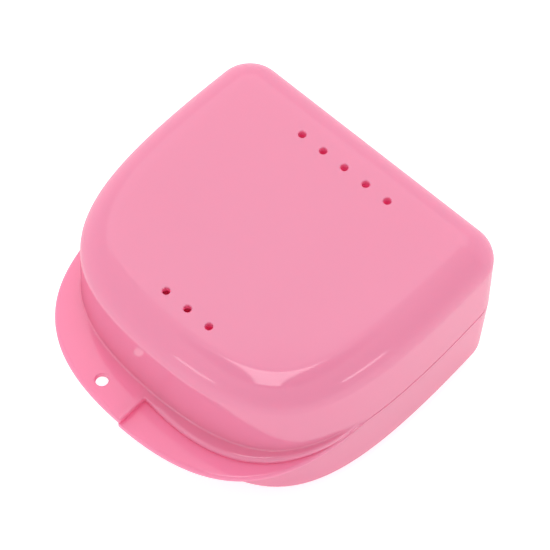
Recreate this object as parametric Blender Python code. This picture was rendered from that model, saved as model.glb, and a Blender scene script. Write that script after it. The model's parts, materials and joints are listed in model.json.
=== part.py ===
"""Hinged storage case for a sports mouthguard, with the mouthguard lying inside it.

The case is a D-shaped clamshell: a straight hinge edge at the back (+Y), bulging sides and a
round front (-Y). Lid and base meet at mid height. The lid carries the left half of a front
thumb tab and the base carries the right half. The case stands on Z = 0 and is centred on X and Y.
"""

import bpy
import bmesh
from math import cos, hypot, pi, radians, sin
from mathutils import Matrix

MM = 0.001

# Case, outside
HEIGHT = 41.0 * MM
PARTING_Z = 20.5 * MM
BODY_DEPTH = 68.5 * MM
BACK_HALF_WIDTH = 37.2 * MM
CORNER_RADIUS = 8.0 * MM
SIDE_FLARE = radians(2.8)
SIDE_HANDLE = 45.3 * MM
FRONT_HANDLE = 35.0 * MM
SIDE_DRAFT = 0.75 * MM
FRONT_DRAFT = 1.3 * MM
TOP_FRONT_DRAFT = 0.95 * MM
BOTTOM_RADIUS = 4.0 * MM
SHOULDER_WIDTH = 7.5 * MM
SHOULDER_DROP = 6.0 * MM

# Case, walls and joints between the mouldings
WALL = 1.6 * MM
SEAM = 0.3 * MM
TONGUE_THICKNESS = 1.0 * MM
TONGUE_RISE = 2.0 * MM
TONGUE_SUPPORT = 3.5 * MM
TONGUE_GAP = 0.35 * MM
TONGUE_BACK_CLEARANCE = 18.0 * MM

# Rim ledge and the two half tabs: half width, start behind the front, depth, curve handles
PLATE = 1.5 * MM
RIM_HALF_WIDTH = 36.8 * MM
RIM_START = 38.0 * MM
RIM_DEPTH = 70.25 * MM
RIM_HANDLES = (39.0 * MM, 5.0 * MM)
TAB_HALF_WIDTH = 36.8 * MM
TAB_START = 18.7 * MM
TAB_DEPTH = 77.7 * MM
TAB_HANDLES = (31.5 * MM, 39.5 * MM)
LID_TAB_END_X = 0.35 * MM
BASE_TAB_END_X = -0.35 * MM
HANG_HOLE_RADIUS = 1.4 * MM
HANG_HOLE_X = -9.0 * MM
HANG_HOLE_DEPTH = 73.4 * MM

# Vent holes in the lid: two rows, both parallel to the hinge edge
VENT_RADIUS = 0.85 * MM
VENT_PITCH = 6.0 * MM
VENT_ROWS = ((5, 10.1 * MM), (3, 56.6 * MM))

# Hinge behind the back wall, on the parting height
HINGE_OFFSET = 2.6 * MM
KNUCKLE_RADIUS = 2.2 * MM
PIN_RADIUS = 0.75 * MM
PIN_CLEARANCE = 0.1 * MM
PIN_LENGTH = 15.6 * MM
HINGE_X = 20.0 * MM
LID_KNUCKLE = 6.0 * MM
BASE_KNUCKLE = 4.5 * MM
KNUCKLE_GAP = 0.4 * MM

# Mouthguard: a U-shaped tray with a softer liner in its channel
GUARD_ARCH = (24.0 * MM, 40.0 * MM)
GUARD_BACK = 15.5 * MM
GUARD_HALF_SECTION = 6.4 * MM
GUARD_HEIGHT = 19.5 * MM
GUARD_INNER_HEIGHT = 13.0 * MM
GUARD_END_HEIGHT = 0.72
GUARD_WALL = 1.8 * MM
GUARD_FLOOR = 3.2 * MM
LINER_WALL = 0.9 * MM
LINER_RIM_DROP = 2.0 * MM
FIT_GAP = 0.3 * MM

# Smoothness of the curved outlines
CORNER_STEPS = 7
SIDE_STEPS = 20
EDGE_STEPS = 4
ARCH_STEPS = 28
ROUND_SEGMENTS = 24
SHARP_ANGLE = radians(35)
WELD_DISTANCE = 0.01 * MM

# The hinge stands out behind the case, so the body sits a little forward of centre
HINGE_REACH = HINGE_OFFSET + KNUCKLE_RADIUS
BACK_Y = (TAB_DEPTH + HINGE_REACH) / 2 - HINGE_REACH
HINGE_Y = BACK_Y + HINGE_OFFSET
BASE_TOP_Z = PARTING_Z - SEAM / 2
LID_BOTTOM_Z = PARTING_Z + SEAM / 2
CUT_MARGIN = 2.0 * MM


def clear_scene():
    for item in list(bpy.data.objects):
        bpy.data.objects.remove(item, do_unlink=True)


def make_collection(name):
    group = bpy.data.collections.new(name)
    bpy.context.scene.collection.children.link(group)
    return group


def make_material(name, color, roughness, metallic=0.0):
    material = bpy.data.materials.new(name)
    material.use_nodes = True
    shader = material.node_tree.nodes["Principled BSDF"]
    shader.inputs["Base Color"].default_value = (*color, 1.0)
    shader.inputs["Roughness"].default_value = roughness
    shader.inputs["Metallic"].default_value = metallic
    return material


def add_object(name, bm, group, material=None):
    """Turn a bmesh into an object whose faces all point outwards."""
    bmesh.ops.recalc_face_normals(bm, faces=bm.faces)
    mesh = bpy.data.meshes.new(name)
    bm.to_mesh(mesh)
    bm.free()
    item = bpy.data.objects.new(name, mesh)
    group.objects.link(item)
    if material:
        mesh.materials.append(material)
        mesh.shade_smooth()
        mesh.set_sharp_from_angle(angle=SHARP_ANGLE)
    else:
        item.hide_render = True
        item.display_type = "WIRE"
    return item


def combine(target, operand, operation):
    """Join or cut with a Boolean that stays on the object."""
    modifier = target.modifiers.new(f"{operation.lower()} {operand.name}", "BOOLEAN")
    modifier.object = operand
    modifier.operation = operation
    modifier.solver = "EXACT"


# ---- Outlines ----

def cubic(p0, p1, p2, p3, steps):
    """Points along a cubic curve, both ends included."""
    points = []
    for i in range(steps + 1):
        t = i / steps
        u = 1 - t
        w = (u ** 3, 3 * u * u * t, 3 * u * t * t, t ** 3)
        x = w[0] * p0[0] + w[1] * p1[0] + w[2] * p2[0] + w[3] * p3[0]
        y = w[0] * p0[1] + w[1] * p1[1] + w[2] * p2[1] + w[3] * p3[1]
        points.append((x, y))
    return points


def body_outline():
    """The D outline at the parting plane, clockwise from the middle of the back."""
    cx = BACK_HALF_WIDTH - CORNER_RADIUS
    cy = BACK_Y - CORNER_RADIUS
    half = [(0.0, BACK_Y), (cx / 2, BACK_Y)]
    for i in range(CORNER_STEPS):
        angle = pi / 2 + (SIDE_FLARE - pi / 2) * i / CORNER_STEPS
        half.append((cx + CORNER_RADIUS * cos(angle), cy + CORNER_RADIUS * sin(angle)))
    start = (cx + CORNER_RADIUS * cos(SIDE_FLARE), cy + CORNER_RADIUS * sin(SIDE_FLARE))
    bulge = (start[0] + SIDE_HANDLE * sin(SIDE_FLARE), start[1] - SIDE_HANDLE * cos(SIDE_FLARE))
    front_y = BACK_Y - BODY_DEPTH
    half += cubic(start, bulge, (FRONT_HANDLE, front_y), (0.0, front_y), SIDE_STEPS)
    return half + [(-x, y) for x, y in half[-2:0:-1]]


def outward_normals(points):
    """Unit normals of a clockwise closed outline."""
    normals = []
    for i, _ in enumerate(points):
        before = points[i - 1]
        after = points[(i + 1) % len(points)]
        dx = after[0] - before[0]
        dy = after[1] - before[1]
        length = hypot(dx, dy)
        normals.append((-dy / length, dx / length))
    return normals


def body_ring(z, side_inset, front_inset=None):
    """The D outline at height z, moved inwards by an amount that may grow towards the front."""
    points = body_outline()
    front_inset = side_inset if front_inset is None else front_inset
    ring = []
    for (x, y), (nx, ny) in zip(points, outward_normals(points)):
        forward = (BACK_Y - y) / BODY_DEPTH
        inset = side_inset + (front_inset - side_inset) * forward ** 2
        ring.append((x - nx * inset, y - ny * inset, z))
    return ring


def crescent(half_width, start, depth, handles):
    """Right half of a crescent round the front, from its side end to the middle of the front."""
    side = (half_width, BACK_Y - start)
    front = (0.0, BACK_Y - depth)
    return cubic(side, (side[0], side[1] - handles[0]), (handles[1], front[1]), front, SIDE_STEPS)


# ---- Solids ----

def loft(name, rings, group, material=None, closed=False):
    """Skin a row of rings with equally many points; a closed row makes a loop without ends."""
    bm = bmesh.new()
    loops = [[bm.verts.new(point) for point in ring] for ring in rings]
    pairs = list(zip(loops, loops[1:]))
    if closed:
        pairs.append((loops[-1], loops[0]))
    else:
        bm.faces.new(loops[0])
        bm.faces.new(loops[-1])
    for one, other in pairs:
        for i, _ in enumerate(one):
            j = (i + 1) % len(one)
            bm.faces.new((one[i], one[j], other[j], other[i]))
    return add_object(name, bm, group, material)


def plate(name, outline, z_low, z_high, group):
    """A flat plate: a filled 2D curve, extruded, then made a welded mesh."""
    curve = bpy.data.curves.new(name, "CURVE")
    curve.dimensions = "2D"
    curve.fill_mode = "BOTH"
    curve.extrude = (z_high - z_low) / 2
    spline = curve.splines.new("POLY")
    spline.points.add(len(outline) - 1)
    for point, (x, y) in zip(spline.points, outline):
        point.co = (x, y, 0, 1)
    spline.use_cyclic_u = True
    source = bpy.data.objects.new(name, curve)
    source.location.z = (z_low + z_high) / 2
    group.objects.link(source)
    bpy.context.view_layer.update()
    mesh = bpy.data.meshes.new_from_object(source.evaluated_get(bpy.context.evaluated_depsgraph_get()))
    mesh.transform(source.matrix_world)
    bpy.data.objects.remove(source)
    bm = bmesh.new()
    bm.from_mesh(mesh)
    bmesh.ops.remove_doubles(bm, verts=bm.verts, dist=WELD_DISTANCE)
    return add_object(name, bm, group)


def rods(name, group, radius, spans, center_yz, axis="X"):
    """Separate parallel cylinders in one mesh: along X through center_yz, or upright along Z."""
    bm = bmesh.new()
    for low, high, *place in spans:
        if axis == "X":
            move = Matrix.Translation(((low + high) / 2, *center_yz)) @ Matrix.Rotation(pi / 2, 4, "Y")
        else:
            move = Matrix.Translation((*place, (low + high) / 2))
        bmesh.ops.create_cone(bm, cap_ends=True, segments=ROUND_SEGMENTS, radius1=radius,
                              radius2=radius, depth=high - low, matrix=move)
    return add_object(name, bm, group)


def blocks(name, group, boxes):
    """Separate boxes in one mesh, each given by its two opposite corners."""
    bm = bmesh.new()
    for low, high in boxes:
        size = [b - a for a, b in zip(low, high)]
        middle = [(a + b) / 2 for a, b in zip(low, high)]
        bmesh.ops.create_cube(bm, size=1.0, matrix=Matrix.Translation(middle) @ Matrix.Diagonal((*size, 1)))
    return add_object(name, bm, group)


# ---- Case ----

def knuckle_spans():
    """X ranges of the lid's and the base's knuckles: two hinges, each of three knuckles."""
    lid = []
    base = []
    for center in (-HINGE_X, HINGE_X):
        lid.append((center - LID_KNUCKLE / 2, center + LID_KNUCKLE / 2))
        inner = LID_KNUCKLE / 2 + KNUCKLE_GAP
        base.append((center - inner - BASE_KNUCKLE, center - inner))
        base.append((center + inner, center + inner + BASE_KNUCKLE))
    return lid, base


def add_knuckles(body, spans, web_low, web_high, cutters):
    """Join the hinge barrels and the webs that carry them to a moulding."""
    name = body.name
    webs = [((a, BACK_Y - WALL / 2, web_low), (b, HINGE_Y, web_high)) for a, b in spans]
    combine(body, blocks(f"{name}_webs", cutters, webs), "UNION")
    barrels = rods(f"{name}_barrels", cutters, KNUCKLE_RADIUS, spans, (HINGE_Y, PARTING_Z))
    combine(body, barrels, "UNION")


def bore_knuckles(body, spans, cutters):
    wide = [(a - KNUCKLE_GAP / 2, b + KNUCKLE_GAP / 2) for a, b in spans]
    radius = PIN_RADIUS + PIN_CLEARANCE
    bores = rods(f"{body.name}_bores", cutters, radius, wide, (HINGE_Y, PARTING_Z))
    combine(body, bores, "DIFFERENCE")


def quarter_steps():
    return [pi / 2 * i / EDGE_STEPS for i in range(EDGE_STEPS + 1)]


def base_rings(wall, top_z):
    """Rings of the base from its floor up, moved inwards by the wall for the inside."""
    radius = BOTTOM_RADIUS - wall
    rings = []
    for t in quarter_steps():
        inset = wall + radius * (1 - sin(t))
        rings.append(body_ring(wall + radius * (1 - cos(t)), SIDE_DRAFT + inset, FRONT_DRAFT + inset))
    rings.append(body_ring(top_z, wall))
    return rings


def lid_rings(wall, bottom_z):
    """Rings of the lid from its rim up, over the soft shoulder to the flat top."""
    width = SHOULDER_WIDTH - wall
    drop = SHOULDER_DROP - wall
    rings = [body_ring(bottom_z, wall)]
    for t in quarter_steps():
        inset = wall + width * (1 - cos(t))
        z = HEIGHT - wall - drop * (1 - sin(t))
        rings.append(body_ring(z, inset, TOP_FRONT_DRAFT + inset))
    return rings


def make_tongue(cutters):
    """A raised lip inside the base's rim that keys the lid, left out near the hinge."""
    outer = WALL + TONGUE_GAP
    inner = outer + TONGUE_THICKNESS
    buried = WALL * 0.75
    profile = (
        (buried, BASE_TOP_Z - TONGUE_SUPPORT),
        (inner, BASE_TOP_Z - TONGUE_SUPPORT / 3),
        (inner, PARTING_Z + TONGUE_RISE),
        (outer, PARTING_Z + TONGUE_RISE),
        (outer, BASE_TOP_Z),
        (buried, BASE_TOP_Z),
    )
    tongue = loft("tongue", [body_ring(z, inset) for inset, z in profile], cutters, closed=True)
    reach = BACK_HALF_WIDTH + CUT_MARGIN
    low = (-reach, BACK_Y - TONGUE_BACK_CLEARANCE, 0)
    back = blocks("tongue_back", cutters, [(low, (reach, BACK_Y + CUT_MARGIN, HEIGHT))])
    combine(tongue, back, "DIFFERENCE")
    return tongue


def make_base(parts, cutters, material):
    base = loft("case_base", base_rings(0, BASE_TOP_Z), parts, material)
    tab = crescent(TAB_HALF_WIDTH, TAB_START, TAB_DEPTH, TAB_HANDLES)
    outline = tab + [(BASE_TAB_END_X, tab[-1][1]), (BASE_TAB_END_X, tab[0][1])]
    tab_plate = plate("base_tab", outline, BASE_TOP_Z - PLATE, BASE_TOP_Z, cutters)
    combine(base, tab_plate, "UNION")
    spans = knuckle_spans()[1]
    add_knuckles(base, spans, PARTING_Z - KNUCKLE_RADIUS, BASE_TOP_Z, cutters)
    inside = loft("base_inside", base_rings(WALL, BASE_TOP_Z + CUT_MARGIN), cutters)
    combine(base, inside, "DIFFERENCE")
    combine(base, make_tongue(cutters), "UNION")
    bore_knuckles(base, spans, cutters)


def make_lid(parts, cutters, material):
    lid = loft("case_lid", lid_rings(0, LID_BOTTOM_Z), parts, material)
    rim = crescent(RIM_HALF_WIDTH, RIM_START, RIM_DEPTH, RIM_HANDLES)
    rim += [(-x, y) for x, y in rim[-2::-1]]
    top_z = LID_BOTTOM_Z + PLATE
    combine(lid, plate("lid_rim", rim, LID_BOTTOM_Z, top_z, cutters), "UNION")
    tab = crescent(TAB_HALF_WIDTH, TAB_START, TAB_DEPTH, TAB_HANDLES)
    outline = [(-x, y) for x, y in tab] + [(LID_TAB_END_X, tab[-1][1]), (LID_TAB_END_X, tab[0][1])]
    combine(lid, plate("lid_tab", outline, LID_BOTTOM_Z, top_z, cutters), "UNION")
    spans = knuckle_spans()[0]
    add_knuckles(lid, spans, LID_BOTTOM_Z, PARTING_Z + KNUCKLE_RADIUS, cutters)
    combine(lid, loft("lid_inside", lid_rings(WALL, LID_BOTTOM_Z - CUT_MARGIN), cutters), "DIFFERENCE")
    combine(lid, make_vents(cutters), "DIFFERENCE")
    place = (HANG_HOLE_X, BACK_Y - HANG_HOLE_DEPTH)
    hole = (LID_BOTTOM_Z - CUT_MARGIN, top_z + CUT_MARGIN, *place)
    combine(lid, rods("hang_hole", cutters, HANG_HOLE_RADIUS, [hole], None, "Z"), "DIFFERENCE")
    bore_knuckles(lid, spans, cutters)


def make_vents(cutters):
    holes = []
    for count, depth in VENT_ROWS:
        for i in range(count):
            x = (i - (count - 1) / 2) * VENT_PITCH
            holes.append((HEIGHT - WALL - CUT_MARGIN, HEIGHT + CUT_MARGIN, x, BACK_Y - depth))
    return rods("vents", cutters, VENT_RADIUS, holes, None, "Z")


def make_pin(name, x, parts, material):
    bpy.ops.mesh.primitive_cylinder_add(
        vertices=ROUND_SEGMENTS, radius=PIN_RADIUS, depth=PIN_LENGTH,
        location=(x, HINGE_Y, PARTING_Z), rotation=(0, pi / 2, 0))
    pin = bpy.context.object
    pin.name = name
    for group in pin.users_collection:
        group.objects.unlink(pin)
    parts.objects.link(pin)
    pin.data.materials.append(material)
    pin.data.shade_smooth()
    pin.data.set_sharp_from_angle(angle=SHARP_ANGLE)


# ---- Mouthguard ----

def shell_section():
    """Cross-section of the tray: (outward, up) points of a U with a thick biting floor."""
    outer = GUARD_HALF_SECTION
    inner = outer - GUARD_WALL
    soft = GUARD_WALL / 3
    return [
        (-outer + soft, 0), (outer - soft, 0), (outer, soft * 2),
        (outer, GUARD_HEIGHT - soft * 2), (outer - soft, GUARD_HEIGHT), (inner, GUARD_HEIGHT - soft),
        (inner, GUARD_FLOOR), (-inner, GUARD_FLOOR), (-inner, GUARD_INNER_HEIGHT - soft),
        (-outer + soft, GUARD_INNER_HEIGHT), (-outer, GUARD_INNER_HEIGHT - soft * 2), (-outer, soft * 2),
    ]


def liner_section():
    """Cross-section of the liner that sits in the tray's channel."""
    outer = GUARD_HALF_SECTION - GUARD_WALL - FIT_GAP
    inner = outer - LINER_WALL
    low = GUARD_FLOOR + FIT_GAP
    front = GUARD_HEIGHT - LINER_RIM_DROP
    back = GUARD_INNER_HEIGHT - LINER_RIM_DROP
    return [
        (-outer, low), (outer, low), (outer, front), (inner, front),
        (inner, low + LINER_WALL), (-inner, low + LINER_WALL), (-inner, back), (-outer, back),
    ]


def sweep_arch(name, section, parts, material):
    """Carry a cross-section round the dental arch, a half ellipse open towards the hinge."""
    width, depth = GUARD_ARCH
    floor_z = WALL + FIT_GAP
    back_y = BACK_Y - GUARD_BACK
    rings = []
    for i in range(ARCH_STEPS + 1):
        angle = pi * i / ARCH_STEPS
        x = width * cos(angle)
        y = back_y - depth * sin(angle)
        nx = depth * cos(angle)
        ny = -width * sin(angle)
        length = hypot(nx, ny)
        taper = GUARD_END_HEIGHT + (1 - GUARD_END_HEIGHT) * sin(angle)
        ring = []
        for out, up in section:
            height = up if up < GUARD_FLOOR * 2 else up * taper
            ring.append((x + nx / length * out, y + ny / length * out, floor_z + height))
        rings.append(ring)
    loft(name, rings, parts, material)


def main():
    clear_scene()
    parts = make_collection("mouthguard_with_case")
    cutters = make_collection("mouthguard_with_case_cutters")
    pink = make_material("pink_moulding", (0.89, 0.32, 0.47), 0.3)
    pin_pink = make_material("pin_plastic", (0.84, 0.28, 0.42), 0.35)
    guard = make_material("guard_shell", (0.80, 0.16, 0.32), 0.35)
    liner = make_material("guard_liner", (0.90, 0.66, 0.72), 0.45)
    make_base(parts, cutters, pink)
    make_lid(parts, cutters, pink)
    make_pin("hinge_pin_left", -HINGE_X, parts, pin_pink)
    make_pin("hinge_pin_right", HINGE_X, parts, pin_pink)
    sweep_arch("mouthguard_shell", shell_section(), parts, guard)
    sweep_arch("mouthguard_liner", liner_section(), parts, liner)


main()
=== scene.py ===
import json
from math import cos, pi, radians, sin

import bmesh
import bpy
import numpy as np
from mathutils import Matrix, Quaternion, Vector


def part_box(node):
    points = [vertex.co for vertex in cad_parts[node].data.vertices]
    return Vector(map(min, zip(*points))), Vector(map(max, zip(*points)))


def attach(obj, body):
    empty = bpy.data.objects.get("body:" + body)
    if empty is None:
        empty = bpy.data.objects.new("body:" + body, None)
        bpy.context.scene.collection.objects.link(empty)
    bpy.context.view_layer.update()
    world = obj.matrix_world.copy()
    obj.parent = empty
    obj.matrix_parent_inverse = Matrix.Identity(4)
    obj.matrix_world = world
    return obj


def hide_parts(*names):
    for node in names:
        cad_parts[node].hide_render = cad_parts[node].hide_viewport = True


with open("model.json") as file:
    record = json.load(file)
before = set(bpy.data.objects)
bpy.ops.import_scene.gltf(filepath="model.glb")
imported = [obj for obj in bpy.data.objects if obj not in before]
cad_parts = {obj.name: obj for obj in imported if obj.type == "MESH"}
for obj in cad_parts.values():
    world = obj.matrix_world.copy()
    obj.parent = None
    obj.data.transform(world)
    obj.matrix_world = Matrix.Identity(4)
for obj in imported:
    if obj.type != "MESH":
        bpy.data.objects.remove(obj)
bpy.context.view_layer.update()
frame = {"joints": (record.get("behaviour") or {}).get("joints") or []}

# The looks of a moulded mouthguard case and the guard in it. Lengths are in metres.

MM = 0.001

# ---- Sizes read from the frame ----

_, HINGE_Y, PARTING_Z = next(j["pos_m"] for j in frame["joints"] if j["name"] == "lid_hinge")
LID_LOW, LID_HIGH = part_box("case_lid")
GUARD_LOW, GUARD_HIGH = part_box("mouthguard_shell")
PIN_LOW, PIN_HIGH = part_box("hinge_pin_right")
HEIGHT = LID_HIGH.z
HINGE_OFFSET = 2.6 * MM
BACK_Y = HINGE_Y - HINGE_OFFSET
TAB_DEPTH = BACK_Y - LID_LOW.y

# ---- Case body ----

BODY_DEPTH = 68.5 * MM
BACK_HALF_WIDTH = 37.2 * MM
CORNER_RADIUS = 8.0 * MM
SIDE_FLARE = radians(2.8)
SIDE_HANDLE = 45.3 * MM
FRONT_HANDLE = 35.0 * MM
SIDE_DRAFT = 0.75 * MM
FRONT_DRAFT = 1.3 * MM
TOP_FRONT_DRAFT = 0.95 * MM
BOTTOM_RADIUS = 4.0 * MM
SHOULDER_WIDTH = 7.5 * MM
SHOULDER_DROP = 6.0 * MM
WALL = 1.6 * MM
SEAM = 0.3 * MM
LID_BOTTOM = PARTING_Z + SEAM / 2
BASE_TOP = PARTING_Z - SEAM / 2

# ---- Rim ledge, half tabs and their rounded edges ----

PLATE = 1.5 * MM
RIM = dict(half_width=36.8 * MM, start=38.0 * MM, depth=70.25 * MM, handles=(39.0 * MM, 5.0 * MM))
TAB = dict(half_width=36.8 * MM, start=18.7 * MM, depth=TAB_DEPTH, handles=(31.5 * MM, 39.5 * MM))
LID_TAB_END_X = 0.35 * MM
BASE_TAB_END_X = -0.35 * MM
TAB_CORNER = 0.5 * MM
STEP_CORNER = 0.3 * MM
COVE = 0.4 * MM
TOP_EDGE = 0.9 * MM
STEP_EDGE = 0.35 * MM
EDGE_RAMP = 3.0 * MM
LOW_EDGE = 0.25 * MM
BASE_TAB_EDGE = 0.7 * MM
UNDER_EDGE = 0.45 * MM
UNDER_COVE = 0.8 * MM
FULL_LEDGE = 0.9 * MM

# How much of a narrow ledge its rounded edge and its cove may take
EDGE_SHARE = 0.45
COVE_SHARE = 0.5

# How far from the wall a ledge is looked for
LONGEST_LEDGE = 15.0 * MM

# Stations round the outline: closer together in a window round the step between the half tabs
STATION_SPACING = 0.75 * MM
STEP_WINDOW = 1.6 * MM
TAB_SETBACK = 1.1 * MM

# ---- Tongue, holes, recess and hinge ----

TONGUE = 1.0 * MM
TONGUE_GAP = 0.35 * MM
TONGUE_RISE = 2.0 * MM
TONGUE_BEAD = 0.12 * MM
TONGUE_START = (17.0 * MM, 22.0 * MM)
HANG_HOLE = (-9.0 * MM, BACK_Y - 73.4 * MM)
HANG_HOLE_RADIUS = 1.4 * MM
HANG_HOLE_FLARE = 0.2 * MM
VENT_RADIUS = 0.85 * MM
VENT_FLARE = 0.16 * MM
VENT_PITCH = 6.0 * MM
VENT_ROWS = ((5, 10.1 * MM), (3, 56.6 * MM))
KNUCKLE_RADIUS = 2.2 * MM
KNUCKLE_FILLET = 0.9 * MM
BORE_RADIUS = 0.85 * MM
HINGE_X = 20.0 * MM
LID_KNUCKLE = 6.0 * MM
BASE_KNUCKLE = 4.5 * MM
KNUCKLE_GAP = 0.4 * MM

# Recess of the underside: how far each ring is drawn in, and how high it lies
UNDERSIDE = (
    (0.985, 0.0), (0.93, 0.0), (0.922, 0.05 * MM),
    (0.915, 0.22 * MM), (0.905, 0.25 * MM), (0.88, 0.25 * MM),
)

# ---- Mouthguard ----

GUARD_ARCH = (24.0 * MM, 40.0 * MM)
GUARD_BACK_Y = GUARD_HIGH.y
GUARD_HALF = GUARD_HIGH.x - GUARD_ARCH[0]
GUARD_HEIGHT = GUARD_HIGH.z - GUARD_LOW.z
GUARD_INNER_HEIGHT = 13.0 * MM
GUARD_END_HEIGHT = 0.72
GUARD_WALL = 1.8 * MM
GUARD_FLOOR = 3.2 * MM
GUARD_LEAN = 1.1 * MM
NOTCH_DEPTH = 3.2 * MM
NOTCH_WIDTH = 3.0 * MM
GROOVE_DEPTH = 0.4 * MM
GROOVE_WIDTH = 0.5 * MM
GROOVE_LEVELS = (0.36, 0.5, 0.64)
GRIP_DEPTH = 0.25 * MM
LINER_WALL = 0.9 * MM
LINER_RIM_DROP = 2.0 * MM
LINER_GAP = 0.05 * MM
CUSHION_RISE = 0.35 * MM
RIB_PITCH = 2.6 * MM
ARCH_STEPS = 260
TIP_STEPS = 6

# ---- Shading and camera ----

SMOOTH_ANGLE = radians(38)

# Azimuth and elevation are in degrees, the focal length and the sensor in millimetres
CAMERA_AZIMUTH = 43.53
CAMERA_ELEVATION = 59.26
CAMERA_ROLL = radians(-0.13)
CAMERA_DISTANCE = 0.5658
CAMERA_TARGET = Vector((-4.47 * MM, 10.09 * MM, 12.0 * MM))
FOCAL_LENGTH = 172.165
SENSOR_WIDTH = 36

# ---- Floor, sky and lights ----

FLOOR_SIZE = 4.0
FLOOR_DROP = 0.02 * MM
FLOOR_WHITE = 0.75
FLOOR_ROUGHNESS = 0.6
FLOOR_SPECULAR = 0.2
FLOOR_GLOW = 0.56
SKY_STRENGTH = 1.3

# Levels of the sky at the horizon (height 0) and overhead (height 1), and (height, level) between them
SKY_ENDS = (1.1, 0.35)
SKY_BETWEEN = ((0.35, 1.0), (0.6, 0.93), (0.92, 1.0), (0.955, 0.35))

# Azimuth and elevation in the middle of the dimmer part, and its limits as cosines and levels
DIM_PART = (65, 40)
DIM_RANGE = {"From Min": 0.2, "From Max": 0.9, "To Min": 1.0, "To Max": 0.68}

LIGHT_DISTANCE = 0.8
LIGHT_AIM = Vector((0, 0, 0.02))


# ---- Outlines ----

def cubic(p0, p1, p2, p3, steps):
    """Points along a cubic curve, both ends included."""
    t = np.linspace(0, 1, steps + 1)[:, None]
    u = 1 - t
    points = [np.array(p, float) for p in (p0, p1, p2, p3)]
    return u ** 3 * points[0] + 3 * u * u * t * points[1] + 3 * u * t * t * points[2] + t ** 3 * points[3]


def body_polyline():
    """The D outline at the parting plane, finely divided, clockwise from the middle of the back."""
    centre = np.array((BACK_HALF_WIDTH - CORNER_RADIUS, BACK_Y - CORNER_RADIUS))
    angles = np.linspace(pi / 2, SIDE_FLARE, 120)
    corner = centre + CORNER_RADIUS * np.stack([np.cos(angles), np.sin(angles)], 1)
    start = corner[-1]
    bulge = start + SIDE_HANDLE * np.array((sin(SIDE_FLARE), -cos(SIDE_FLARE)))
    front_y = BACK_Y - BODY_DEPTH
    side = cubic(start, bulge, (FRONT_HANDLE, front_y), (0, front_y), 900)
    back = np.stack([np.linspace(0, centre[0], 60), np.full(60, BACK_Y)], 1)
    half = np.concatenate([back, corner[1:], side[1:]])
    # The widest point is made exactly as wide as the CAD lid.
    half[:, 0] *= LID_HIGH.x / half[:, 0].max()
    return np.concatenate([half, half[-2::-1] * (-1, 1)])


def crescent(half_width, start, depth, handles):
    """A crescent round the front, from its +X end to its -X end."""
    side = (half_width, BACK_Y - start)
    front = (0, BACK_Y - depth)
    half = cubic(side, (side[0], side[1] - handles[0]), (handles[1], front[1]), front, 240)
    return np.concatenate([half, half[-2::-1] * (-1, 1)])


def at_lengths(polyline, lengths):
    """Points of a polyline at distances along it."""
    steps = np.linalg.norm(np.diff(polyline, axis=0), axis=1)
    travelled = np.concatenate([[0], np.cumsum(steps)])
    return np.stack([np.interp(lengths, travelled, polyline[:, i]) for i in (0, 1)], 1)


def outward(before, after):
    """Unit normals on the left of a clockwise path, from each point's neighbours."""
    tangent = after - before
    normal = np.stack([-tangent[:, 1], tangent[:, 0]], 1)
    return normal / np.linalg.norm(normal, axis=1)[:, None]


def ray_width(points, normals, curve):
    """How far each point has to go along its normal to reach a curve, or 0 where it misses it."""
    a = curve[:-1][None]
    edge = (curve[1:] - curve[:-1])[None]
    d = normals[:, None, :]
    gap = a - points[:, None, :]
    cross = d[..., 0] * edge[..., 1] - d[..., 1] * edge[..., 0]
    cross = np.where(np.abs(cross) < 1e-15, 1e-15, cross)
    reach = (gap[..., 0] * edge[..., 1] - gap[..., 1] * edge[..., 0]) / cross
    share = (gap[..., 0] * d[..., 1] - gap[..., 1] * d[..., 0]) / cross
    hit = (share >= 0) & (share <= 1) & (reach > 0) & (reach < LONGEST_LEDGE)
    return np.where(hit, reach, 0).max(1)


def corner_arc(corner, before, after, radius, steps=9):
    """Points that round a corner between two directions with a circular arc."""
    corner, before, after = (np.array(p, float) for p in (corner, before, after))
    a = (before - corner) / np.linalg.norm(before - corner)
    b = (after - corner) / np.linalg.norm(after - corner)
    half = np.arccos(np.clip(a @ b, -1, 1)) / 2
    reach = radius / np.tan(half)
    start, end = corner + a * reach, corner + b * reach
    middle = (a + b) / np.linalg.norm(a + b)
    centre = corner + middle * radius / np.sin(half)
    rays = [(1 - t) * (start - centre) + t * (end - centre) for t in np.linspace(0, 1, steps)]
    return np.array([centre + ray / np.linalg.norm(ray) * radius for ray in rays])


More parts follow.
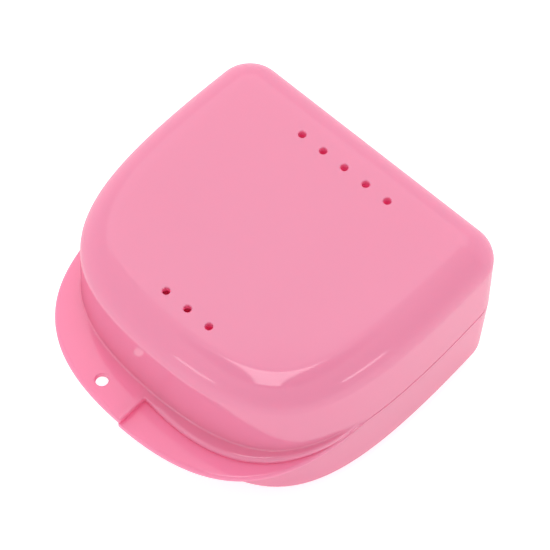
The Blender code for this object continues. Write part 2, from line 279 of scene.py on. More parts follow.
class Outline:
    """Matching stations on a moulding's wall and on the edge of its ledge and tab."""

    def __init__(self, split_x, right_curve, left_curve):
        # Lengths along the wall: even ones, and closer ones in the window round the step.
        line = body_polyline()
        total = np.linalg.norm(np.diff(line, axis=0), axis=1).sum()
        front = total / 2 - split_x
        count = int(total / STATION_SPACING)
        even = np.arange(count) * total / count
        right = even[even < front - STEP_WINDOW]
        left = even[even > front + STEP_WINDOW]
        step, turn = self.step_path(split_x, right_curve, left_curve, line[len(line) // 2][1])
        tab_is_right = turn > len(step) / 2
        bend = front - TAB_SETBACK if tab_is_right else front + TAB_SETBACK
        inside = np.concatenate([
            np.linspace(front - STEP_WINDOW, bend, turn, endpoint=False),
            np.linspace(bend, front + STEP_WINDOW, len(step) - turn),
        ])
        lengths = np.concatenate([right, inside, left])

        # The wall's points and their outward normals.
        reach = 0.25 * MM
        self.wall = at_lengths(line, lengths)
        ahead = at_lengths(line, (lengths + reach) % total)
        behind = at_lengths(line, (lengths - reach) % total)
        self.normal = outward(behind, ahead)

        # The edge of the ledge, where the wall's normals meet its curve, and the path of the step.
        width = np.zeros(len(lengths))
        for curve, part in ((right_curve, lengths < front), (left_curve, lengths > front)):
            if curve is not None:
                width[part] = ray_width(self.wall[part], self.normal[part], curve)
        self.edge = self.wall + self.normal * width[:, None]
        window = slice(len(right), len(right) + len(step))
        self.edge[window] = step
        apart = self.edge[window, None] - line[None, ::4]
        width[window] = np.linalg.norm(apart, axis=2).min(1)
        self.width = width
        beyond = np.abs(lengths - front) - STEP_WINDOW
        self.edge_radius = STEP_EDGE + (TOP_EDGE - STEP_EDGE) * smooth_step(beyond, 0.0, EDGE_RAMP)
        self.edge_normal = outward(np.roll(self.edge, 1, 0), np.roll(self.edge, -1, 0))
        self.forward = np.clip((BACK_Y - self.wall[:, 1]) / BODY_DEPTH, 0, 1)
        self.middle = np.array((0, BACK_Y - BODY_DEPTH / 2))

    @staticmethod
    def step_path(split_x, right_curve, left_curve, wall_y):
        """The edge near the step between the half tabs, and the index where its inner corner joins on."""
        ends = []
        for curve, x in ((right_curve, split_x + STEP_WINDOW), (left_curve, split_x - STEP_WINDOW)):
            y = wall_y if curve is None else np.interp(-x, -curve[:, 0], curve[:, 1])
            ends.append((x, y))
        outer_right = ends[0][1] < ends[1][1]
        radii = (TAB_CORNER, STEP_CORNER) if outer_right else (STEP_CORNER, TAB_CORNER)
        first, second = (split_x, ends[0][1]), (split_x, ends[1][1])
        one = corner_arc(first, ends[0], second, radii[0])
        two = corner_arc(second, first, ends[1], radii[1])
        straight = one[-1] + (two[0] - one[-1]) * np.linspace(0, 1, 8)[1:-1, None]
        path = np.concatenate([[ends[0]], one, straight, two, [ends[1]]])
        turn = 1 + len(one) + len(straight) if outer_right else 1 + len(one)
        return path, turn

    def ring(self, points, normals, inset, z):
        """The points moved inwards, at a height; both numbers may vary round the outline."""
        inset = np.broadcast_to(inset, self.width.shape)[:, None]
        z = np.broadcast_to(z, self.width.shape)
        return np.column_stack([points - normals * inset, z])

    def from_wall(self, inset, z):
        return self.ring(self.wall, self.normal, inset, z)

    def from_edge(self, inset, z):
        return self.ring(self.edge, self.edge_normal, inset, z)

    def shrink(self, ring, scale, lift=0.0):
        """A ring drawn in towards the middle of the outline."""
        moved = ring.copy()
        moved[:, :2] = self.middle + (ring[:, :2] - self.middle) * scale
        moved[:, 2] += lift
        return moved


def smooth_step(x, low, high):
    """0 below the low value, 1 above the high one, and an S curve between them."""
    t = np.clip((x - low) / (high - low), 0, 1)
    return t * t * (3 - 2 * t)


def mix(a, b, share):
    """Ring a where the share is 0, ring b where it is 1."""
    share = np.asarray(share)
    if share.ndim:
        share = share[:, None]
    return a * (1 - share) + b * share


# ---- Meshes ----

def smooth(mesh):
    mesh.shade_smooth()
    mesh.set_sharp_from_angle(angle=SMOOTH_ANGLE)


def new_object(name, bm):
    """An object from a bmesh, with its faces pointing out."""
    bmesh.ops.recalc_face_normals(bm, faces=bm.faces)
    mesh = bpy.data.meshes.new(name)
    bm.to_mesh(mesh)
    bm.free()
    item = bpy.data.objects.new(name, mesh)
    bpy.context.scene.collection.objects.link(item)
    smooth(mesh)
    return item


def bridge(bm, loops):
    """Quads between neighbours in a row of closed loops with equally many points."""
    for one, other in zip(loops, loops[1:]):
        for i, _ in enumerate(one):
            j = (i + 1) % len(one)
            bm.faces.new((one[i], one[j], other[j], other[i]))


def skin(name, rings):
    """A closed surface over a row of rings, with flat ends."""
    bm = bmesh.new()
    loops = [[bm.verts.new(point) for point in ring] for ring in rings]
    bridge(bm, loops)
    bm.faces.new(loops[0])
    bm.faces.new(loops[-1])
    return new_object(name, bm)


def turned(name, profile, matrix, segments=48):
    """A closed turned solid: (radius, height) points, first and last on the axis."""
    bm = bmesh.new()
    rings = []
    for radius, height in profile[1:-1]:
        angles = [2 * pi * i / segments for i in range(segments)]
        rings.append([bm.verts.new((radius * cos(a), radius * sin(a), height)) for a in angles])
    ends = [bm.verts.new((0, 0, profile[0][1])), bm.verts.new((0, 0, profile[-1][1]))]
    bridge(bm, rings)
    for end, ring in zip(ends, (rings[0], rings[-1])):
        for i in range(segments):
            bm.faces.new((end, ring[i], ring[(i + 1) % segments]))
    bmesh.ops.transform(bm, matrix=matrix, verts=bm.verts)
    return new_object(name, bm)


def merge_bodies(name, items):
    """One object that holds several separate solids."""
    bm = bmesh.new()
    for item in items:
        bm.from_mesh(item.data)
        bpy.data.objects.remove(item)
    return new_object(name, bm)


def apply_booleans(item, steps):
    """Joins or cuts a piece with a row of (operation, operand), and keeps only the result."""
    for operation, operand in steps:
        modifier = item.modifiers.new(operation, "BOOLEAN")
        modifier.operation = operation
        modifier.solver = "EXACT"
        modifier.object = operand
    bpy.context.view_layer.update()
    shape = item.evaluated_get(bpy.context.evaluated_depsgraph_get())
    mesh = bpy.data.meshes.new_from_object(shape)
    item.modifiers.clear()
    item.data = mesh
    for _, operand in steps:
        bpy.data.objects.remove(operand)
    smooth(mesh)
    return item


def weigh_normals(item):
    """Lets large flat faces keep their true direction next to rounded edges."""
    modifier = item.modifiers.new("flat faces stay flat", "WEIGHTED_NORMAL")
    modifier.mode = "FACE_AREA"
    modifier.keep_sharp = True


def quarter(steps):
    """Angles from 0 to a right angle, both included."""
    return np.linspace(0, pi / 2, steps + 1)


# ---- Case lid ----

def lid_draft(outline, z):
    """How far the lid's wall leans in at a height: most at the front, none at the back."""
    rise = np.clip((z - LID_BOTTOM) / (HEIGHT - SHOULDER_DROP - LID_BOTTOM), 0, 1)
    return TOP_FRONT_DRAFT * outline.forward ** 2 * rise


def lid_inside(o):
    """Rings from the ceiling down to the inner edge of the rim."""
    rings = []
    for t in quarter(10)[::-1]:
        inset = WALL + (SHOULDER_WIDTH - WALL) * (1 - cos(t))
        z = HEIGHT - WALL - (SHOULDER_DROP - WALL) * (1 - sin(t))
        rings.append(o.from_wall(lid_draft(o, HEIGHT) + inset, z))
    rings.insert(0, o.shrink(rings[0], 0.98))
    for z in np.linspace(HEIGHT - SHOULDER_DROP, LID_BOTTOM + 0.2 * MM, 6)[1:]:
        rings.append(o.from_wall(WALL + lid_draft(o, z), z))
    rings.append(o.from_wall(WALL - 0.06 * MM, LID_BOTTOM + 0.06 * MM))
    rings.append(o.from_wall(WALL - 0.2 * MM, LID_BOTTOM))
    return rings


def lid_ledge(o):
    """Rings round the lower edge, up the ledge's edge, over its top and up the cove to the wall."""
    top_z = LID_BOTTOM + PLATE
    share = smooth_step(o.width, 0.0, FULL_LEDGE)
    edge = np.minimum(o.edge_radius, EDGE_SHARE * o.width)
    cove = np.minimum(COVE, COVE_SHARE * o.width)
    shaped = [o.from_edge(0, LID_BOTTOM + 0.4 * MM)]
    for t in quarter(6):
        shaped.append(o.from_edge(edge * (1 - cos(t)), top_z - edge * (1 - sin(t))))
    for t in quarter(8):
        out = cove * (1 - sin(t))
        z = top_z + cove * (1 - cos(t))
        shaped.append(o.from_wall(lid_draft(o, z) - out, z))
    # Where the outline has no ledge, the same rings climb the bare wall.
    heights = np.linspace(LID_BOTTOM + 0.5 * MM, top_z + 1.4 * MM, len(shaped))
    rings = []
    for t in quarter(3):
        rings.append(o.from_edge(LOW_EDGE * (1 - sin(t)), LID_BOTTOM + LOW_EDGE * (1 - cos(t))))
    for ring, z in zip(shaped, heights):
        rings.append(mix(o.from_wall(lid_draft(o, z), z), ring, share))
    return rings


def lid_outside(o):
    """Rings up the wall, over the shoulder and onto the flat top."""
    rings = []
    low = LID_BOTTOM + PLATE + 2.4 * MM
    high = HEIGHT - SHOULDER_DROP
    for z in np.linspace(low, high, 7)[:-1]:
        rings.append(o.from_wall(lid_draft(o, z), z))
    for t in quarter(18):
        inset = SHOULDER_WIDTH * (1 - cos(t))
        rings.append(o.from_wall(lid_draft(o, HEIGHT) + inset, HEIGHT - SHOULDER_DROP * (1 - sin(t))))
    rings.append(o.shrink(rings[-1], 0.985))
    rings.append(o.shrink(rings[-1], 0.97))
    return rings


def flared_hole(name, x, y, low, high, radius, flare):
    """A cutter for a round hole through a wall, with a small chamfer at both faces."""
    over = 1.0 * MM
    profile = [
        (0, low - over), (radius + flare + over, low - over), (radius, low + flare),
        (radius, high - flare), (radius + flare + over, high + over), (0, high + over),
    ]
    return turned(name, profile, Matrix.Translation((x, y, 0)), 40)


def vent_cutters():
    cutters = []
    for count, depth in VENT_ROWS:
        for i in range(count):
            x = (i - (count - 1) / 2) * VENT_PITCH
            y = BACK_Y - depth
            cutters.append(flared_hole("vent", x, y, HEIGHT - WALL, HEIGHT, VENT_RADIUS, VENT_FLARE))
    return merge_bodies("vents", cutters)


# ---- Knuckles ----

def knuckle_profile(side):
    """Barrel and web seen along the hinge axis; side is 1 for the lid and -1 for the base."""
    seam = SEAM / 2
    barrel = []
    for a in np.linspace(pi - np.arcsin(seam / KNUCKLE_RADIUS), 2 * pi + pi / 2, 44):
        barrel.append((HINGE_Y + KNUCKLE_RADIUS * cos(a), PARTING_Z + side * KNUCKLE_RADIUS * sin(a)))
    web = []
    for t in quarter(6):
        rise = KNUCKLE_RADIUS + KNUCKLE_FILLET * (1 - cos(t))
        web.append((BACK_Y + KNUCKLE_FILLET * (1 - sin(t)), PARTING_Z + side * rise))
    buried = BACK_Y - WALL / 2
    end = [
        (buried, PARTING_Z + side * (KNUCKLE_RADIUS + KNUCKLE_FILLET)),
        (buried, PARTING_Z + side * seam),
    ]
    return barrel + web + end


def knuckle(name, low, high, side):
    profile = knuckle_profile(side)
    return skin(name, [[(x, y, z) for y, z in profile] for x in (low, high)])


def knuckle_spans():
    """X ranges of the lid's and the base's knuckles: a lid knuckle between two base knuckles, twice."""
    lid = []
    base = []
    inner = LID_KNUCKLE / 2 + KNUCKLE_GAP
    for centre in (-HINGE_X, HINGE_X):
        lid.append((centre - LID_KNUCKLE / 2, centre + LID_KNUCKLE / 2))
        base.append((centre - inner - BASE_KNUCKLE, centre - inner))
        base.append((centre + inner, centre + inner + BASE_KNUCKLE))
    return lid, base


def hinge_steps(name, spans, side):
    """Boolean steps that add a moulding's knuckles and bore them."""
    knuckles = [knuckle(f"{name}_{i}", *span, side) for i, span in enumerate(spans)]
    place = Matrix.Translation((0, HINGE_Y, PARTING_Z)) @ Matrix.Rotation(pi / 2, 4, "Y")
    bores = []
    for i, (low, high) in enumerate(spans):
        start, end = low - 0.15 * MM, high + 0.15 * MM
        profile = [(0, start), (BORE_RADIUS, start), (BORE_RADIUS, end), (0, end)]
        bores.append(turned(f"{name}_bore_{i}", profile, place, 32))
    return [("UNION", merge_bodies(name, knuckles)), ("DIFFERENCE", merge_bodies(f"{name}_bores", bores))]


def make_lid():
    outline = Outline(LID_TAB_END_X, crescent(**RIM), crescent(**TAB))
    lid = skin("lid_moulding", lid_inside(outline) + lid_ledge(outline) + lid_outside(outline))
    size = (HANG_HOLE_RADIUS, HANG_HOLE_FLARE)
    hole = flared_hole("hang", *HANG_HOLE, LID_BOTTOM, LID_BOTTOM + PLATE, *size)
    steps = hinge_steps("lid_knuckles", knuckle_spans()[0], 1)
    steps += [("DIFFERENCE", vent_cutters()), ("DIFFERENCE", hole)]
    return apply_booleans(lid, steps)


# ---- Case base ----

def base_draft(outline, z):
    """How far the base's wall leans in at a height, more at the front than at the sides."""
    fall = np.clip((BASE_TOP - z) / (BASE_TOP - BOTTOM_RADIUS), 0, 1)
    front = outline.forward ** 2
    return (SIDE_DRAFT + (FRONT_DRAFT - SIDE_DRAFT) * front) * fall


def base_inside(o):
    """Rings from the floor up the inner wall, over the tongue and onto the rim's top face."""
    radius = BOTTOM_RADIUS - WALL
    rings = []
    for t in quarter(8):
        inset = WALL + radius * (1 - sin(t))
        rings.append(o.from_wall(base_draft(o, 0) + inset, WALL + radius * (1 - cos(t))))
    rings.insert(0, o.shrink(rings[0], 0.98))
    support_z = BASE_TOP - 3.5 * MM
    for z in np.linspace(BOTTOM_RADIUS, support_z, 5)[1:]:
        rings.append(o.from_wall(WALL + base_draft(o, z), z))
    outer = WALL + TONGUE_GAP
    inner = outer + TONGUE
    top = PARTING_Z + TONGUE_RISE
    soft = 0.25 * MM
    bead = outer - TONGUE_BEAD
    tongue = [
        (inner - 0.3 * MM, BASE_TOP - 1.9 * MM), (inner, BASE_TOP - 1.2 * MM), (inner, top - soft),
        (inner - 0.3 * soft, top - 0.3 * soft), (inner - soft, top), (outer + soft, top),
        (outer + 0.3 * soft, top - 0.3 * soft), (outer, top - soft), (outer, top - 0.4 * MM),
        (bead, top - 0.65 * MM), (bead, top - 0.95 * MM), (outer, top - 1.2 * MM),
        (outer, BASE_TOP + 0.1 * MM), (outer - 0.1 * MM, BASE_TOP),
    ]
    plain = [
        (WALL, BASE_TOP - 1.9 * MM), (WALL, BASE_TOP - 1.2 * MM), (WALL, BASE_TOP - soft),
        (WALL - 0.3 * soft, BASE_TOP - 0.3 * soft), (WALL - soft, BASE_TOP),
    ]
    plain += [(WALL - soft - 0.06 * MM * (k + 1), BASE_TOP) for k in range(len(tongue) - len(plain))]
    presence = smooth_step(BACK_Y - o.wall[:, 1], *TONGUE_START)
    for (high_inset, high_z), (low_inset, low_z) in zip(tongue, plain):
        ring = o.from_wall(high_inset, high_z)
        rings.append(mix(o.from_wall(low_inset, low_z), ring, presence))
    return rings


def base_ledge(o):
    """Rings over the rim's outer edge, round the tab and along its underside back to the wall."""
    low_z = BASE_TOP - PLATE
    share = smooth_step(o.width, 0.0, FULL_LEDGE)
    edge = LOW_EDGE + (BASE_TAB_EDGE * o.edge_radius / TOP_EDGE - LOW_EDGE) * share
    under = np.minimum(UNDER_EDGE, EDGE_SHARE * o.width)
    cove = np.minimum(UNDER_COVE, COVE_SHARE * o.width)
    rings = []
    for t in quarter(5):
        rings.append(o.from_edge(edge * (1 - sin(t)), BASE_TOP - edge * (1 - cos(t))))
    shaped = []
    for t in quarter(5):
        shaped.append(o.from_edge(under * (1 - cos(t)), low_z + under * (1 - sin(t))))
    for t in quarter(6):
        z = low_z - cove * (1 - cos(t))
        shaped.append(o.from_wall(base_draft(o, z) - cove * (1 - sin(t)), z))
    heights = np.linspace(BASE_TOP - 0.8 * MM, low_z - 1.1 * MM, len(shaped))
    for ring, z in zip(shaped, heights):
        rings.append(mix(o.from_wall(base_draft(o, z), z), ring, share))
    return rings


def base_outside(o):
    """Rings down the wall, round the bottom edge and into the shallow recess of the underside."""
    rings = []
    for z in np.linspace(BASE_TOP - PLATE - 1.6 * MM, BOTTOM_RADIUS, 7)[:-1]:
        rings.append(o.from_wall(base_draft(o, z), z))
    for t in quarter(12)[::-1]:
        inset = BOTTOM_RADIUS * (1 - sin(t))
        rings.append(o.from_wall(base_draft(o, 0) + inset, BOTTOM_RADIUS * (1 - cos(t))))
    flat = rings[-1]
    for scale, lift in UNDERSIDE:
        rings.append(o.shrink(flat, scale, lift))
    return rings


def make_base():
    outline = Outline(BASE_TAB_END_X, crescent(**TAB), None)
    base = skin("base_moulding", base_inside(outline) + base_ledge(outline) + base_outside(outline))
    return apply_booleans(base, hinge_steps("base_knuckles", knuckle_spans()[1], -1))


# ---- Hinge pins ----

def make_pin(name, centre_x):
    """A turned pin with rounded ends, four fine grooves near each end and a shallow waist."""
    radius = (PIN_HIGH.z - PIN_LOW.z) / 2
    half = (PIN_HIGH.x - PIN_LOW.x) / 2
    crown = 0.35 * MM
    groove = 0.06 * MM
    profile = [(0, half)]
    for t in quarter(5)[1:]:
        profile.append((radius - crown * (1 - sin(t)), half - crown * (1 - cos(t))))
    for step in range(4):
        z = half - (1.0 + 0.5 * step) * MM
        profile += [(radius, z), (radius - groove, z - 2 * groove), (radius, z - 4 * groove)]
    profile += [(radius, half - 3.6 * MM), (radius - 0.05 * MM, half - 3.9 * MM)]
    profile += [(r, -z) for r, z in profile[::-1]]
    place = Matrix.Translation((centre_x, HINGE_Y, PARTING_Z)) @ Matrix.Rotation(pi / 2, 4, "Y")
    return turned(name, profile, place, 40)


# ---- Mouthguard ----

def rounded_u(half, low, corner, front_top, back_top):
    """One side of a U-shaped section: down the front flange, along the floor, up the back flange."""
    down = np.linspace(front_top, low + corner, 45)[:-1]
    up = np.linspace(low + corner, back_top, 25)[1:]
    arc = np.linspace(0, pi / 2, 9)
    left = [(half - corner + corner * cos(a), low + corner - corner * sin(a)) for a in arc]
    right = [(-x, z) for x, z in left[::-1]]
    floor = [(x, low) for x in np.linspace(half - corner, corner - half, 14)[1:-1]]
    front = [(half - GUARD_LEAN * (z / GUARD_HEIGHT) ** 2, z) for z in down]
    back = [(-half + 0.6 * GUARD_LEAN * (z / GUARD_HEIGHT) ** 2, z) for z in up]
    return np.array(front + left + floor + right + back)


def flange_tops(angle, drop):
    """Heights of the front and back flanges at an angle round the arch, with a notch for the lip's fold."""
    taper = GUARD_END_HEIGHT + (1 - GUARD_END_HEIGHT) * sin(angle)
    x = GUARD_ARCH[0] * cos(angle)
    notch = NOTCH_DEPTH * np.exp(-((x / NOTCH_WIDTH) ** 2))
    return GUARD_HEIGHT * taper - notch - drop, GUARD_INNER_HEIGHT * taper - drop


def ripple(travel):
    """A wave between 0 and 1 along the arch."""
    return 0.5 + 0.5 * cos(2 * pi * travel / RIB_PITCH)


def shell_sides(angle, travel):
    """Outer and inner sides of the tray's section, with ribs under the bite and grooves at the cheeks."""
    front, back = flange_tops(angle, GUARD_WALL / 2)
    outer = rounded_u(GUARD_HALF, GRIP_DEPTH, 2.6 * MM, front, back)
    inner = rounded_u(GUARD_HALF - GUARD_WALL, GUARD_FLOOR, 1.4 * MM, front, back)
    under = outer[:, 1] < 1.2 * GRIP_DEPTH
    outer[under, 1] -= GRIP_DEPTH * ripple(travel)
    aside = abs(angle - pi / 2)
    cheek = smooth_step(aside, 0.35, 0.5) * (1 - smooth_step(aside, 0.95, 1.1))
    for level in GROOVE_LEVELS:
        depth = GROOVE_DEPTH * np.exp(-(((outer[:, 1] - level * front) / GROOVE_WIDTH) ** 2))
        outer[:, 0] -= np.where(outer[:, 0] > GUARD_HALF - 2.0 * MM, depth * cheek, 0)
    return outer, inner


def liner_sides(angle, travel):
    """Outer and inner sides of the liner's section, with cushion ribs across its floor."""
    front, back = flange_tops(angle, LINER_RIM_DROP)
    half = GUARD_HALF - GUARD_WALL - LINER_GAP
    top = GUARD_FLOOR + LINER_WALL
    outer = rounded_u(half, GUARD_FLOOR + LINER_GAP, 1.35 * MM, front, back)
    inner = rounded_u(half - LINER_WALL, top, 0.9 * MM, front, back)
    inner[inner[:, 1] < top + LINER_GAP, 1] += CUSHION_RISE * ripple(travel) ** 2
    return outer, inner


def arch_frame(angle):
    """Point, sideways direction and forward direction of the dental arch at an angle."""
    width, depth = GUARD_ARCH
    side = np.array((depth * cos(angle), -width * sin(angle)))
    ahead = np.array((-width * sin(angle), -depth * cos(angle)))
    point = np.array((width * cos(angle), GUARD_BACK_Y - depth * sin(angle)))
    return point, side / np.linalg.norm(side), ahead / np.linalg.norm(ahead)


def around(outer, inner):
    """A closed section from its two sides, with round tips."""
    tips = []
    for a, b in ((outer[-1], inner[-1]), (inner[0], outer[0])):
        middle, arm = (a + b) / 2, (a - b) / 2
        rise = np.array((0, np.linalg.norm(arm)))
        angles = np.linspace(0, pi, TIP_STEPS + 2)[1:-1]
        tips.append([middle + arm * cos(t) + rise * sin(t) for t in angles])
    return np.concatenate([outer, tips[0], inner[::-1], tips[1]])


def sweep_arch(name, sides):
    """Sweeps a two-sided section round the arch and rounds off both open ends."""
    angles = np.linspace(0, pi, ARCH_STEPS + 1)
    points = np.array([arch_frame(a)[0] for a in angles])
    travel = np.concatenate([[0], np.cumsum(np.linalg.norm(np.diff(points, axis=0), axis=1))])
    travel -= travel[-1] / 2

    # Rows of (place along the arch, how far past it, how much of the thickness is left).
    rounding = quarter(5)[:-1]
    stops = [(0, -sin(t), cos(t)) for t in rounding[:0:-1]]
    stops += [(i, 0.0, 1.0) for i in range(1, ARCH_STEPS)]
    stops += [(ARCH_STEPS, sin(t), cos(t)) for t in rounding[1:]]
    bm = bmesh.new()
    loops = []
    for i, past, keep in stops:
        outer, inner = sides(angles[i], travel[i])
        middle = (outer + inner) / 2
        thick = np.linalg.norm(outer - inner, axis=1).min() / 2
        section = around(middle + (outer - middle) * keep, middle + (inner - middle) * keep)
        point, side, ahead = arch_frame(angles[i])
        point = point + ahead * (past - np.sign(past)) * thick
        loop = [(*(point + side * out), GUARD_LOW.z + up) for out, up in section]
        loops.append([bm.verts.new(place) for place in loop])
    bridge(bm, loops)

    # The ends: a strip of quads between the two sides, and the round tips.
    count = len(loops[0]) // 2 - TIP_STEPS
    inner_start = count + TIP_STEPS
    for loop in (loops[0], loops[-1]):
        inner_loop = loop[inner_start:inner_start + count][::-1]
        for i in range(count - 1):
            bm.faces.new((loop[i], loop[i + 1], inner_loop[i + 1], inner_loop[i]))
        bm.faces.new(loop[count - 1:inner_start + 1])
        bm.faces.new(loop[inner_start + count - 1:] + [loop[0]])
    return new_object(name, bm)


# ---- Materials ----

# Clouds and smudges are noises: scale per metre, detail and, where it isn't 0.5, roughness.
# Gloss is how far the surface's roughness goes below and above its value.
# Bumps are noises too: scale per metre, detail and depth in metres, coarse to fine.

# Injection-moulded plastic: flow clouds, finger smudges, slow waves and a fine mould texture.
# The translucent share takes away part of the gloss, so the IOR is high to make up for it.
MOULDED = dict(
    clouds=(38.0, 3.0), smudges=(150.0, 4.0, 0.6), gloss=(-0.02, 0.05), ior=1.75,
    bumps=((60.0, 1.0, 0.012 * MM), (3500.0, 2.0, 0.0012 * MM)),
)

# EVA and gel: cloudy body colour, dull patches, an orange-peel surface and a fine grain.
RUBBER = dict(
    clouds=(140.0, 3.0), smudges=(420.0, 3.0), gloss=(-0.06, 0.1), ior=1.48,
    bumps=((900.0, 2.0, 0.04 * MM), (4200.0, 2.0, 0.006 * MM)),
)


def principled(name, color, roughness):
    """A material and its Principled shader."""
    material = bpy.data.materials.new(name)
    material.use_nodes = True
    shader = material.node_tree.nodes["Principled BSDF"]
    shader.inputs["Base Color"].default_value = (*color, 1)
    shader.inputs["Roughness"].default_value = roughness
    return material, shader


def add_node(material, kind, **inputs):
    """A node of a kind, with the values of some of its inputs."""
    node = material.node_tree.nodes.new(kind)
    for key, value in inputs.items():
        node.inputs[key.replace("_", " ")].default_value = value
    return node


def noise(material, place, scale, detail, roughness=0.5):
    """Values of a noise texture laid through the piece."""
    node = add_node(material, "ShaderNodeTexNoise", Scale=scale, Detail=detail, Roughness=roughness)
    material.node_tree.links.new(place.outputs["Object"], node.inputs["Vector"])
    return node.outputs["Fac"]


def spread(material, value, low, high):
    """The same values between two numbers, from the middle part of a noise's range."""
    node = material.node_tree.nodes.new("ShaderNodeMapRange")
    limits = {"From Min": 0.3, "From Max": 0.7, "To Min": low, "To Max": high}
    for key, number in limits.items():
        node.inputs[key].default_value = number
    material.node_tree.links.new(value, node.inputs["Value"])
    return node.outputs["Result"]


def blend_colors(material, value, low, high):
    """A colour between two, by a value."""
    node = material.node_tree.nodes.new("ShaderNodeMix")
    node.data_type = "RGBA"
    for key, color in (("A", low), ("B", high)):
        next(i for i in node.inputs if i.name == key and i.type == "RGBA").default_value = (*color, 1)
    material.node_tree.links.new(value, node.inputs["Factor"])
    return next(o for o in node.outputs if o.type == "RGBA")


def relief(material, heights):
    """Bump from a row of (height value, depth in metres), coarse to fine."""
    normal = None
    for value, depth in heights:
        bump = add_node(material, "ShaderNodeBump", Strength=1.0, Distance=depth)
        material.node_tree.links.new(value, bump.inputs["Height"])
        if normal:
            material.node_tree.links.new(normal, bump.inputs["Normal"])
        normal = bump.outputs["Normal"]
    return normal


def let_light_through(material, shader, color, share, normal):
    """Mixes in a Translucent shader, so that light passes a thin wall."""
    tree = material.node_tree
    through = tree.nodes.new("ShaderNodeBsdfTranslucent")
    through.inputs["Color"].default_value = (*color, 1)
    tree.links.new(normal, through.inputs["Normal"])
    both = tree.nodes.new("ShaderNodeMixShader")
    both.inputs["Fac"].default_value = share
    tree.links.new(shader.outputs[0], both.inputs[1])
    tree.links.new(through.outputs[0], both.inputs[2])
    tree.links.new(both.outputs[0], tree.nodes["Material Output"].inputs["Surface"])


def textured(name, texture, color, shade, glow, share, roughness):
    """Cloudy colour, smudged gloss and fine relief, with a share of the light going through."""
    material, shader = principled(name, color, roughness)
    links = material.node_tree.links
    place = add_node(material, "ShaderNodeTexCoord")
    clouds = noise(material, place, *texture["clouds"])
    links.new(blend_colors(material, clouds, color, shade), shader.inputs["Base Color"])
    smudges = noise(material, place, *texture["smudges"])
    low, high = (roughness + change for change in texture["gloss"])
    links.new(spread(material, smudges, low, high), shader.inputs["Roughness"])
    heights = [(noise(material, place, scale, detail), depth) for scale, detail, depth in texture["bumps"]]
    normal = relief(material, heights)
    links.new(normal, shader.inputs["Normal"])
    shader.inputs["IOR"].default_value = texture["ior"]
    let_light_through(material, shader, glow, share, normal)
    return material


def dress(item, material, body, slot, *nodes):
    """Gives a piece its material and body, and hides the CAD nodes that it replaces; the slot is not used.
    """
    item.data.materials.clear()
    item.data.materials.append(material)
    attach(item, body)
    if nodes:
        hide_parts(*nodes)


# ---- Stage ----

def make_floor():
    """A white floor that glows a little, like a light table, so that it shows hardly any shadow."""
    bpy.ops.mesh.primitive_plane_add(size=FLOOR_SIZE, location=(0, 0, -FLOOR_DROP))
    floor = bpy.context.object
    floor.name = "floor"
    material, shader = principled("floor_white", (FLOOR_WHITE,) * 3, FLOOR_ROUGHNESS)
    shader.inputs["Specular IOR Level"].default_value = FLOOR_SPECULAR
    shader.inputs["Emission Color"].default_value = (1, 1, 1, 1)
    shader.inputs["Emission Strength"].default_value = FLOOR_GLOW
    floor.data.materials.append(material)


def make_sky():
    """A white studio with a darker ceiling, and darker on the front right, where the photographer is."""
    world = bpy.data.worlds.new("studio")
    bpy.context.scene.world = world
    world.use_nodes = True
    nodes, links = world.node_tree.nodes, world.node_tree.links
    background = nodes["Background"]
    background.inputs["Strength"].default_value = SKY_STRENGTH
    sky = nodes.new("ShaderNodeTexCoord")
    height = nodes.new("ShaderNodeSeparateXYZ")
    links.new(sky.outputs["Generated"], height.inputs["Vector"])
    ramp = nodes.new("ShaderNodeValToRGB")
    stops = ramp.color_ramp.elements
    for stop, level in zip(stops, SKY_ENDS):
        stop.color = (level, level, level, 1)
    for up, level in SKY_BETWEEN:
        stops.new(up).color = (level, level, level, 1)
    links.new(height.outputs["Z"], ramp.inputs["Fac"])
    side = nodes.new("ShaderNodeVectorMath")
    side.operation = "DOT_PRODUCT"
    side.inputs[1].default_value = direction(*DIM_PART)
    links.new(sky.outputs["Generated"], side.inputs[0])
    dim = nodes.new("ShaderNodeMapRange")
    dim.interpolation_type = "SMOOTHSTEP"
    for key, number in DIM_RANGE.items():
        dim.inputs[key].default_value = number
    links.new(side.outputs["Value"], dim.inputs["Value"])
    both = nodes.new("ShaderNodeVectorMath")
    both.operation = "MULTIPLY"
    links.new(ramp.outputs["Color"], both.inputs[0])
    links.new(dim.outputs["Result"], both.inputs[1])
    links.new(both.outputs["Vector"], background.inputs["Color"])


def direction(azimuth, elevation):
    """Unit vector towards a point on the sky; azimuth in degrees from the front (-Y) towards +X."""
    a, e = radians(azimuth), radians(elevation)
    return Vector((sin(a) * cos(e), -cos(a) * cos(e), sin(e)))


def area_light(name, place, size, power, turn=0.0):
    """A rectangular softbox that looks at the case, turned round its own axis."""
    light = bpy.data.lights.new(name, "AREA")
    light.shape = "RECTANGLE"
    light.size, light.size_y = size
    light.energy = power
    item = bpy.data.objects.new(name, light)
    aim = (LIGHT_AIM - place).to_track_quat("-Z", "Y")
    item.location = place
    item.rotation_euler = (aim @ Quaternion((0, 0, 1), turn)).to_euler()
    bpy.context.scene.collection.objects.link(item)


def make_camera():
    back = direction(CAMERA_AZIMUTH, CAMERA_ELEVATION)
    right = direction(CAMERA_AZIMUTH + 90, 0)
    up = back.cross(right)
    x = right * cos(CAMERA_ROLL) + up * sin(CAMERA_ROLL)
    y = up * cos(CAMERA_ROLL) - right * sin(CAMERA_ROLL)
    data = bpy.data.cameras.new("camera")
    data.sensor_width = SENSOR_WIDTH
    data.lens = FOCAL_LENGTH
    data.clip_end = 10
    item = bpy.data.objects.new("camera", data)
    axes = Matrix((x, y, back)).transposed()
    item.matrix_world = Matrix.Translation(CAMERA_TARGET + back * CAMERA_DISTANCE) @ axes.to_4x4()
    bpy.context.scene.collection.objects.link(item)
    bpy.context.scene.camera = item


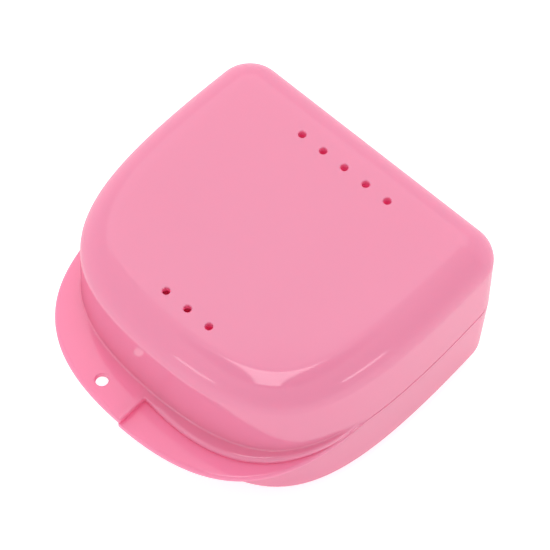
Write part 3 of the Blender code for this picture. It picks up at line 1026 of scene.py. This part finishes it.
def light_the_set():
    """A broad softbox behind, a strip overhead and a small one on each side of the camera."""
    scene = bpy.context.scene
    scene.view_settings.view_transform = "Standard"
    scene.cycles.max_bounces = 32
    scene.cycles.diffuse_bounces = 24
    scene.cycles.transmission_bounces = 24
    area_light("back", LIGHT_DISTANCE * direction(223, 50), size=(0.7, 0.4), power=0.66)
    area_light("strip", Vector((-0.044, 0.006, 0.82)), size=(0.51, 0.17), power=1.0, turn=radians(43.5))
    area_light("right", LIGHT_DISTANCE * direction(99, 29), size=(0.19, 0.1), power=0.2)
    area_light("left", LIGHT_DISTANCE * direction(-11, 30), size=(0.18, 0.1), power=0.16)


def main():
    make_camera()
    make_floor()
    make_sky()
    light_the_set()
    pink = textured(
        "pink_plastic", MOULDED, color=(0.87, 0.37, 0.56), shade=(0.86, 0.352, 0.542),
        glow=(0.97, 0.29, 0.50), share=0.44, roughness=0.06)
    pin_pink = textured(
        "pin_plastic", MOULDED, color=(0.90, 0.30, 0.46), shade=(0.87, 0.28, 0.43),
        glow=(0.94, 0.2, 0.36), share=0.2, roughness=0.24)
    rubber = textured(
        "guard_rubber", RUBBER, color=(0.88, 0.27, 0.44), shade=(0.84, 0.23, 0.40),
        glow=(1.0, 0.24, 0.42), share=0.35, roughness=0.34)
    gel = textured(
        "guard_gel", RUBBER, color=(0.93, 0.74, 0.79), shade=(0.90, 0.69, 0.75),
        glow=(1.0, 0.7, 0.8), share=0.35, roughness=0.42)
    lid = make_lid()
    weigh_normals(lid)
    dress(lid, pink, "lid", "case_plastic", "case_lid")
    base = make_base()
    weigh_normals(base)
    dress(base, pink, "base", "case_plastic", "case_base")
    dress(make_pin("pin_left", -HINGE_X), pin_pink, "base", "pin_plastic", "hinge_pin_left")
    dress(make_pin("pin_right", HINGE_X), pin_pink, "base", "pin_plastic", "hinge_pin_right")
    dress(sweep_arch("guard_tray", shell_sides), rubber, "mouthguard", "guard_shell", "mouthguard_shell")
    dress(sweep_arch("guard_liner", liner_sides), gel, "mouthguard", "guard_liner", "mouthguard_liner")


main()
